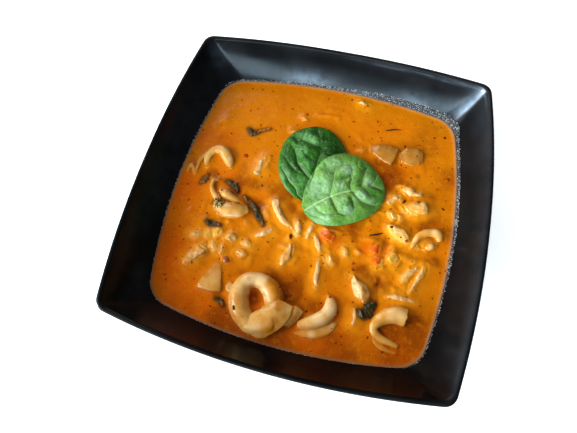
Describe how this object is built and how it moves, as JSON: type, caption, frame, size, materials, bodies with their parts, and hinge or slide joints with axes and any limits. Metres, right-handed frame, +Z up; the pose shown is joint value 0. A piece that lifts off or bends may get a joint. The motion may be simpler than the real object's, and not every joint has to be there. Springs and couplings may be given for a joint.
{
  "type": "bowl of tortellini soup",
  "caption": "Square bowl with bulged sides, full of thick orange soup with stuffed pasta rings, torn chicken, carrot dice, wilted greens and fresh spinach leaves on top.",
  "frame": {"origin": "on the table under the middle of the bowl's square rim", "axes": "+Z up; the bowl's sides face +X, -X, +Y and -Y; the picture looks down from the -Y side"},
  "size_m": [0.2, 0.2, 0.0575],
  "materials": {
    "bowl_glaze": "satin",
    "soup": "gloss",
    "pasta": "satin",
    "chicken": "satin",
    "carrot": "satin",
    "leaf_dark": "satin",
    "leaf_light": "satin",
    "wilted_greens": "satin"
  },
  "bodies": {
    "root": {"bowl": "bowl_glaze", "carrot_dice_back": "carrot", "carrot_dice_front": "carrot", "carrot_wedge": "carrot", "chicken_bar": "chicken", "chicken_bit_inner": "chicken", "chicken_bit_left": "chicken", "chicken_chunk_back": "chicken", "chicken_chunk_right": "chicken", "chicken_dome": "chicken", "chicken_lump_left": "chicken", "chicken_lump_middle": "chicken", "chicken_slab": "chicken", "leaf_back": "leaf_dark", "leaf_front": "leaf_light", "pasta_flap_back": "pasta", "pasta_flap_corner": "pasta", "pasta_flap_left": "pasta", "shred_back": "chicken", "shred_long": "chicken", "shred_middle": "chicken", "shred_nub": "chicken", "shred_side": "chicken", "shred_thread_a": "chicken", "shred_thread_b": "chicken", "soup": "soup", "strip_front": "chicken", "strip_left": "chicken", "strip_short": "chicken", "strip_side": "chicken", "tortellino_arch": "pasta", "tortellino_crescent": "pasta", "tortellino_front": "pasta", "tortellino_hook": "pasta", "tortellino_loop": "pasta", "tortellino_open": "pasta", "wilted_corner": "wilted_greens", "wilted_far": "wilted_greens", "wilted_fold": "wilted_greens", "wilted_hook": "wilted_greens", "wilted_low": "wilted_greens", "wilted_ribbon": "wilted_greens", "wilted_right": "wilted_greens", "wilted_smear": "wilted_greens"}
  },
  "joints": []
}
